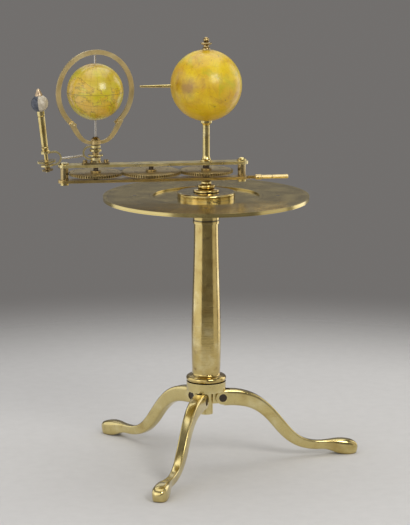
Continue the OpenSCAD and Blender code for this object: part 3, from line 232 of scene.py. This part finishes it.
def metal(name, tones, rough, grain, tarnish, lathe=None, coat=0.0, seam=None, reach=CORNER,
          rubbed=True):
    """Worked metal: cloudy tone, uneven polish, fine marks and a little tarnish.

    seam is the height of a joint between two pieces, where a thin dark line is painted, and
    reach is how far from a corner dirt and painted shade lie. A rubbed piece has brighter
    edges.
    """
    s = Shader(name)
    here = s.place()
    colour = s.ramp(s.noise(here, 38.0, 4.0, 0.55), TONES_AT, tones, True)
    spots = s.noise(here, 95.0, 6.0, 0.62, 0.4)
    colour = s.blotch(colour, tarnish, spots, 0.75, 0.60, 0.78)
    if seam:
        # a thin dark line painted at the joint's height
        colour = s.mix(s.band(s.split(here)[2], seam, JOINT_HALF), colour, DARKENING)
    if rubbed:
        colour = s.wear(colour, tuple(1.1 * v for v in tones[2]))
    # corners and gaps darkened: dirt, and painted shade
    s.give("Base Color", s.darken_dirt_and_shade(colour, reach))
    s.give("Metallic", 1.0)
    s.give("Roughness", s.span(s.noise(here, 70.0, 5.0, 0.6), *rough, 0.3, 0.72))
    marks = s.noise(s.place(scale=grain), 1.0, 3.0, 0.6)
    if lathe:
        rings = s.noise(s.place(scale=lathe), 1.0, 2.0, 0.5)
        marks = s.math("ADD", marks, s.math("MULTIPLY", rings, 1.4))
    s.bump(marks, 0.10, 0.0004)
    s.give("Coat Weight", coat)
    s.give("Coat Roughness", 0.12)
    return s.mat


turned = metal("brass_turned", BRASS, (0.10, 0.22), TURNED_MARKS, TARNISH, LATHE, 0.5)
# column: brass painted darker and warmer for its dark reflection
shaft = metal("brass_shaft", DIM_REFLECTING_BRASS, (0.11, 0.23), TURNED_MARKS, TARNISH, LATHE, 0.5, JOINT_Z)
# small turned pieces: darker brass as painted dark reflection
dark_reflecting = metal("brass_dark_reflecting", DARK_REFLECTING_BRASS, (0.14, 0.28), TURNED_MARKS, TARNISH, LATHE, 0.5)
# legs, upper bar and yokes: lighter brass as painted light
cast = metal("brass_cast", LIT_BRASS, (0.15, 0.28), CAST_MARKS, STAIN, None, 0.5)
bar = metal("brass_bar", LIT_BRASS, (0.24, 0.40), DRAWN_MARKS, TARNISH, None, 0.4)
# lower bar: darker brass as painted shade
low_bar = metal("brass_low_bar", SHADED, (0.24, 0.40), DRAWN_MARKS, TARNISH, None, 0.4)
ring = metal("brass_ring", STRAW, (0.34, 0.50), FINE_MARKS, TARNISH, None, 0.3)
# wheels: darker tones and wide darkening, painted shade between the bars
cut = metal("brass_wheel", PALE_SHADED_BRASS, (0.24, 0.40), WHEEL_MARKS, TARNISH, reach=TEETH_SHADE_REACH,
            rubbed=False)
tan = metal("brass_worn", TAN, (0.30, 0.46), FINE_MARKS, TARNISH)
dark = metal("steel_dark", DARK_STEEL, (0.26, 0.46), FINE_MARKS, DARK_RUST)
bright = metal("steel_bright", BRIGHT_STEEL, (0.18, 0.34), FINE_MARKS, BROWN_RUST)


def table_metal(name, graduated):
    """Turned brass disc: circular tool marks, and a scale cut near its rim."""
    s = Shader(name)
    here = s.place()
    x, y, _ = s.split(here)
    radius = s.radius(x, y)
    angle = s.math("ARCTAN2", y, x)
    round_axis = s.add("ShaderNodeCombineXYZ")
    s.link(s.math("MULTIPLY", radius, 1500.0), round_axis.inputs[0])
    s.link(s.math("MULTIPLY", angle, 1.2), round_axis.inputs[1])
    height = s.noise(round_axis.outputs[0], 1.0, 3.0, 0.6)
    colour = s.ramp(s.noise(here, 24.0, 5.0, 0.6), TONES_AT, TABLE, True)
    spots = s.noise(here, 60.0, 5.0, 0.58, 0.5)
    colour = s.blotch(colour, TARNISH, spots, 0.35, 0.61, 0.82)
    if graduated:
        cuts = 0.0
        for count, inner, half in SCALE_STROKES:
            stroke = s.math("LESS_THAN", s.off_line(angle, count, radius), half)
            room = s.math("MULTIPLY", s.math("GREATER_THAN", radius, inner),
                          s.math("LESS_THAN", radius, SCALE_CIRCLES[-1]))
            cuts = s.math("ADD", cuts, s.math("MULTIPLY", stroke, room))
        for at in SCALE_CIRCLES:
            cuts = s.math("ADD", cuts, s.band(radius, at, CIRCLE_HALF))
        cuts = s.math("MULTIPLY", s.math("MINIMUM", cuts, 1.0), 0.72)
        colour = s.mix(cuts, colour, CUT_LINES)
        height = s.math("SUBTRACT", height, s.math("MULTIPLY", cuts, 1.6))
    # corners and gaps darkened with dirt and painted shade; edges rubbed brighter
    s.give("Base Color", s.darken_dirt_and_shade(s.wear(colour, RUBBED_TABLE), CORNER))
    s.give("Metallic", 1.0)
    s.give("Roughness", s.span(s.noise(here, 45.0, 5.0, 0.6), 0.15, 0.27, 0.3, 0.72))
    s.bump(height, 0.05, 0.0004)
    return s.mat


table_plain = table_metal("brass_table", False)
table_scale = table_metal("brass_scale", True)


# ---- sun, globe and moon

def sun_paint():
    """Old yellow paint under amber varnish, mottled with brown and green."""
    yellows = ((0.42, 0.22, 0.008), (0.66, 0.43, 0.010), (0.74, 0.53, 0.014),
               (0.80, 0.63, 0.050))
    green, orange, amber = (0.50, 0.44, 0.018), (0.64, 0.31, 0.022), (0.74, 0.46, 0.004)
    bare, speck, spot, crack = ((0.34, 0.175, 0.045), (0.22, 0.11, 0.020), (0.17, 0.095, 0.018),
                                (0.36, 0.20, 0.030))

    s = Shader("sun_varnish")
    here = s.place((0.0, 0.0, -SUN_Z))
    cloud = s.noise(here, 34.0, 6.0, 0.62, 0.6)
    colour = s.ramp(cloud, (0.28, 0.44, 0.58, 0.76), yellows, True)
    mottle = s.noise(s.place((0.3, 0.1, 0.2)), 46.0, 4.0, 0.6, 0.8)
    colour = s.blotch(colour, green, mottle, 0.75, 0.53, 0.68)
    mottle = s.noise(s.place((0.7, 0.5, 0.1)), 40.0, 5.0, 0.62, 0.8)
    colour = s.blotch(colour, orange, mottle, 0.6, 0.56, 0.74)
    # deeper orange towards the bottom
    colour = s.mix(s.span(s.split(here)[2], 0.7, 0.0, -0.040, -0.008), colour, amber)

    away = s.add("ShaderNodeVectorMath", operation="DISTANCE")
    s.link(here, away.inputs[0])
    away.inputs[1].default_value = WORN_AT
    uneven = s.ragged(s.noise(here, 120.0, 5.0, 0.65), 0.026)
    patch = s.span(s.math("ADD", away.outputs["Value"], uneven), 0.80, 0.0, 0.003, 0.015)
    colour = s.mix(patch, colour, bare)

    specks = s.noise(s.place((0.2, 0.9, 0.4)), 240.0, 5.0, 0.65)
    colour = s.blotch(colour, speck, specks, 0.7, 0.64, 0.76)
    spots = s.noise(s.place((0.6, 0.1, 0.8)), 105.0, 6.0, 0.7, 0.5)
    colour = s.blotch(colour, spot, spots, 0.85, 0.635, 0.70)
    cells = s.add("ShaderNodeTexVoronoi", feature="DISTANCE_TO_EDGE")
    s.link(here, cells.inputs["Vector"])
    cells.inputs["Scale"].default_value = 130.0
    lines = s.span(cells.outputs[0], 0.35, 0.0, 0.0, 0.035)
    s.give("Base Color", s.mix(lines, colour, crack))
    s.give("Roughness", s.span(s.noise(here, 90.0, 4.0), 0.26, 0.46, 0.3, 0.7))
    s.give("Coat Weight", 0.22)
    s.give("Coat Roughness", 0.14)
    s.bump(s.math("SUBTRACT", cloud, s.math("MULTIPLY", lines, 0.6)), 0.15, 0.0006)
    return s.mat


def globe_paper():
    """Varnished paper gores: faded land and sea, a grid, and a slanting ring."""
    sea_to_land = ((0.54, 0.46, 0.020), (0.64, 0.52, 0.024), (0.67, 0.46, 0.030),
                   (0.60, 0.36, 0.026))
    pink, amber, coast = (0.74, 0.45, 0.12), (0.42, 0.24, 0.016), (0.27, 0.18, 0.035)
    ink, brown = (0.20, 0.13, 0.030), (0.30, 0.20, 0.035)
    grid_count, grid_half = 24, 0.00014
    slant = 0.41  # radians

    s = Shader("globe_paper")
    x, y, z = s.split(s.place(tuple(-GLOBE)))
    flat = s.radius(x, y)
    lon = s.math("ARCTAN2", y, x)
    lat = s.math("ARCTAN2", z, flat)
    land = s.noise(s.place((0.05, 0.02, 0.11)), 27.0, 7.0, 0.60, 0.5)
    colour = s.ramp(land, (0.40, 0.492, 0.508, 0.66), sea_to_land)
    blush = s.noise(s.place((0.4, 0.3, 0.2)), 30.0, 3.0, 0.5)
    colour = s.blotch(colour, pink, blush, 0.50, 0.52, 0.70)
    varnish = s.noise(s.place((0.15, 0.6, 0.35)), 24.0, 4.0, 0.55)
    colour = s.blotch(colour, amber, varnish, 0.65, 0.50, 0.68)
    colour = s.mix(s.math("MULTIPLY", s.band(land, 0.50, 0.008), 0.7), colour, coast)

    lines = s.math("MAXIMUM",
                   s.math("LESS_THAN", s.off_line(lon, grid_count, flat), grid_half),
                   s.math("LESS_THAN", s.off_line(lat, grid_count, GLOBE_R), grid_half))
    lines = s.math("MAXIMUM", lines, s.band(lat, 0.0, 0.014))
    tilt = s.math("SUBTRACT", lat, s.math("MULTIPLY", s.math("SINE", lon), slant))
    lines = s.math("MAXIMUM", lines, s.band(tilt, 0.0, 0.009))
    colour = s.mix(s.math("MULTIPLY", lines, 0.58), colour, ink)
    stain = s.noise(s.place((0.9, 0.2, 0.5)), 130.0, 6.0, 0.66)
    s.give("Base Color", s.blotch(colour, brown, stain, 0.6, 0.60, 0.78))
    s.give("Roughness", s.span(stain, 0.20, 0.38, 0.3, 0.7))
    s.give("Coat Weight", 0.35)
    s.give("Coat Roughness", 0.10)
    s.bump(s.math("ADD", stain, s.math("MULTIPLY", lines, 0.4)), 0.10, 0.0004)
    return s.mat


def moon_paint():
    """A ball painted dark on the outer half and pale on the earth's side."""
    pale = ((0.34, 0.29, 0.20), (0.62, 0.56, 0.44))
    night = ((0.020, 0.024, 0.034), (0.075, 0.085, 0.11))
    ends = (0.3, 0.7)
    border = 0.0003

    s = Shader("moon_paint")
    here = s.place(tuple(-MOON))
    x, y, z = s.split(here)
    side = s.math("ADD", s.math("ADD", x, s.math("MULTIPLY", y, -0.28)),
                  s.math("MULTIPLY", z, 0.10))
    uneven = s.ragged(s.noise(here, 300.0, 4.0), 0.0012)
    half = s.span(s.math("ADD", side, uneven), 0.0, 1.0, -border, border)
    s.give("Base Color", s.mix(half, s.ramp(s.noise(here, 300.0, 5.0, 0.6), ends, night),
                               s.ramp(s.noise(here, 260.0, 5.0, 0.6), ends, pale)))
    s.give("Roughness", s.span(s.noise(here, 400.0, 4.0), 0.30, 0.52, 0.3, 0.7))
    s.give("Coat Weight", 0.25)
    s.bump(s.noise(here, 700.0, 5.0), 0.15, 0.0003)
    return s.mat


looks = {
    shaft: "column table_socket",
    turned: """hub_disc hub_boss sun_post sun_pointer pillar_cap_nuts pillar_foot_nuts
               spindle_wide_ring spindle_narrow_ring moon_post moon_finger_wheel""",
    dark_reflecting: """sun_finial sun_end_pillar earth_end_pillar spindle_bearing spindle_head
             bearing_screws moon_nut""",
    tan: "moon_cap",
    cast: "leg_hub leg_right leg_left leg_front",
    bar: "arm_upper_bar moon_inner_yoke moon_outer_yoke",
    low_bar: "arm_lower_bar",
    ring: "meridian_ring ring_fork ring_rivets handle",
    cut: "centre_wheel idler_wheel earth_wheel",
    dark: """leg_hinge_pins tie_rod table_screws scale_ring_screws centre_arbor idler_arbor
             earth_arbor handle_pin sun_rod moon_pin""",
    bright: "globe_axis moon_rod",
    table_plain: "table_plate",
    table_scale: "scale_ring",
    sun_paint(): "sun_ball",
    globe_paper(): "globe_ball",
    moon_paint(): "moon_ball",
}
for material, names in looks.items():
    for name in names.split():
        nodes[name].data.materials.clear()
        nodes[name].data.materials.append(material)

# ---- smooth shading with crisp edges

SAME_POINT = 0.000002
CRISP = math.radians(34)

for obj in nodes.values():
    normals = obj.data.attributes.get("custom_normal")
    if normals:
        obj.data.attributes.remove(normals)
    obj.data.polygons.foreach_set("use_smooth", [True] * len(obj.data.polygons))
    weld = obj.modifiers.new("weld", "WELD")
    weld.merge_threshold = SAME_POINT
    edges = obj.modifiers.new("edges", "EDGE_SPLIT")
    edges.split_angle = CRISP


# ---- room and light

def studio():
    """A round pale floor that fades out into the grey of the room."""
    greys = ((0.60, 0.595, 0.585), (0.63, 0.625, 0.615))
    black, white = (0, 0, 0), (1, 1, 1)

    s = Shader("studio_floor")
    here = s.place()
    s.give("Base Color", s.ramp(s.noise(here, 60.0, 4.0, 0.6), (0.3, 0.7), greys))
    s.give("Roughness", 0.75)
    x, y, _ = s.split(here)
    out = s.math("DIVIDE", s.radius(x, y), FLOOR_R)
    both = s.add("ShaderNodeMixShader")
    s.link(s.ramp(out, (FLOOR_FADES, 1.0), (black, white), True), both.inputs[0])
    s.link(s.bsdf.outputs[0], both.inputs[1])
    s.link(s.add("ShaderNodeBsdfTransparent").outputs[0], both.inputs[2])
    s.link(both.outputs[0], s.out.inputs["Surface"])

    angles = [math.tau * i / FLOOR_SIDES for i in range(FLOOR_SIDES)]
    rim = [(FLOOR_R * math.cos(t), FLOOR_R * math.sin(t), 0.0) for t in angles]
    mesh = bpy.data.meshes.new("studio_floor")
    mesh.from_pydata(rim, [], [tuple(range(FLOOR_SIDES))])
    mesh.materials.append(s.mat)
    sheet = bpy.data.objects.new("studio_floor", mesh)
    bpy.context.scene.collection.objects.link(sheet)


def lamp(name, place, aim, size, power, colour=(1, 1, 1)):
    """A soft rectangular lamp of so many watts, which the camera doesn't see."""
    data = bpy.data.lights.new(name, "AREA")
    data.shape = "RECTANGLE"
    data.size, data.size_y = size
    data.energy = power
    data.color = colour
    obj = bpy.data.objects.new(name, data)
    obj.location = place
    obj.rotation_euler = (Vector(aim) - Vector(place)).to_track_quat("-Z", "Y").to_euler()
    obj.visible_camera = False
    bpy.context.scene.collection.objects.link(obj)


studio()
lamp("key", (0.60, -1.35, 1.25), (0, 0, 0.36), (0.7, 0.7), 13, (1.0, 0.98, 0.95))
lamp("fill", (-1.05, -1.50, 0.98), (0, 0, 0.36), (2.1, 1.3), 9.2, (1.0, 0.97, 0.93))
lamp("panel_left", (-1.15, -0.10, 0.42), (0, -0.10, 0.42), (2.1, 1.5), 9.0, (0.97, 0.98, 1.03))
lamp("panel_right", (1.00, 0.50, 0.42), (0, 0, 0.42), (0.6, 1.5), 4.0, (1.0, 0.98, 0.96))
lamp("panel_side", (1.20, -0.42, 0.42), (0, -0.10, 0.42), (0.9, 1.5), 2.2, (1.0, 0.96, 0.90))
lamp("top", (0.0, 0.30, 1.55), (0, 0, 0.20), (1.5, 1.5), 11)
lamp("back", (0.15, 1.60, 1.15), (0, 0, 0.34), (1.4, 0.5), 1.5)

world = bpy.data.worlds.new("studio")
bpy.context.scene.world = world
world.use_nodes = True
back = world.node_tree.nodes["Background"]
back.inputs["Color"].default_value = (0.168, 0.160, 0.154, 1.0)
back.inputs["Strength"].default_value = 1.0

# ---- camera, from the ellipse of the table and the places of the feet

IMAGE_H, FOCAL, ASIDE = 525.0, 2790.0, 1.2  # in pixels; the last is the column from the middle
SENSOR = 36.0
DISTANCE, HEIGHT, PITCH, TURN = 3.379, 0.939, math.radians(11.46), math.radians(-7.7)

eye = Vector((DISTANCE * math.sin(TURN), -DISTANCE * math.cos(TURN), HEIGHT))
ahead = math.atan2(-eye.y, -eye.x) + ASIDE / FOCAL
level = math.cos(PITCH)
look = Vector((math.cos(ahead) * level, math.sin(ahead) * level, -math.sin(PITCH)))
right = look.cross(Vector((0, 0, 1))).normalized()
up = right.cross(look)
camera = bpy.data.objects.new("camera", bpy.data.cameras.new("camera"))
camera.matrix_world = Matrix((
    (right.x, up.x, -look.x, eye.x),
    (right.y, up.y, -look.y, eye.y),
    (right.z, up.z, -look.z, eye.z),
    (0, 0, 0, 1),
))
camera.data.sensor_width = SENSOR
camera.data.lens = FOCAL * SENSOR / IMAGE_H
camera.data.clip_end = 50.0
bpy.context.scene.collection.objects.link(camera)
bpy.context.scene.camera = camera
bpy.context.scene.view_settings.view_transform = "Standard"
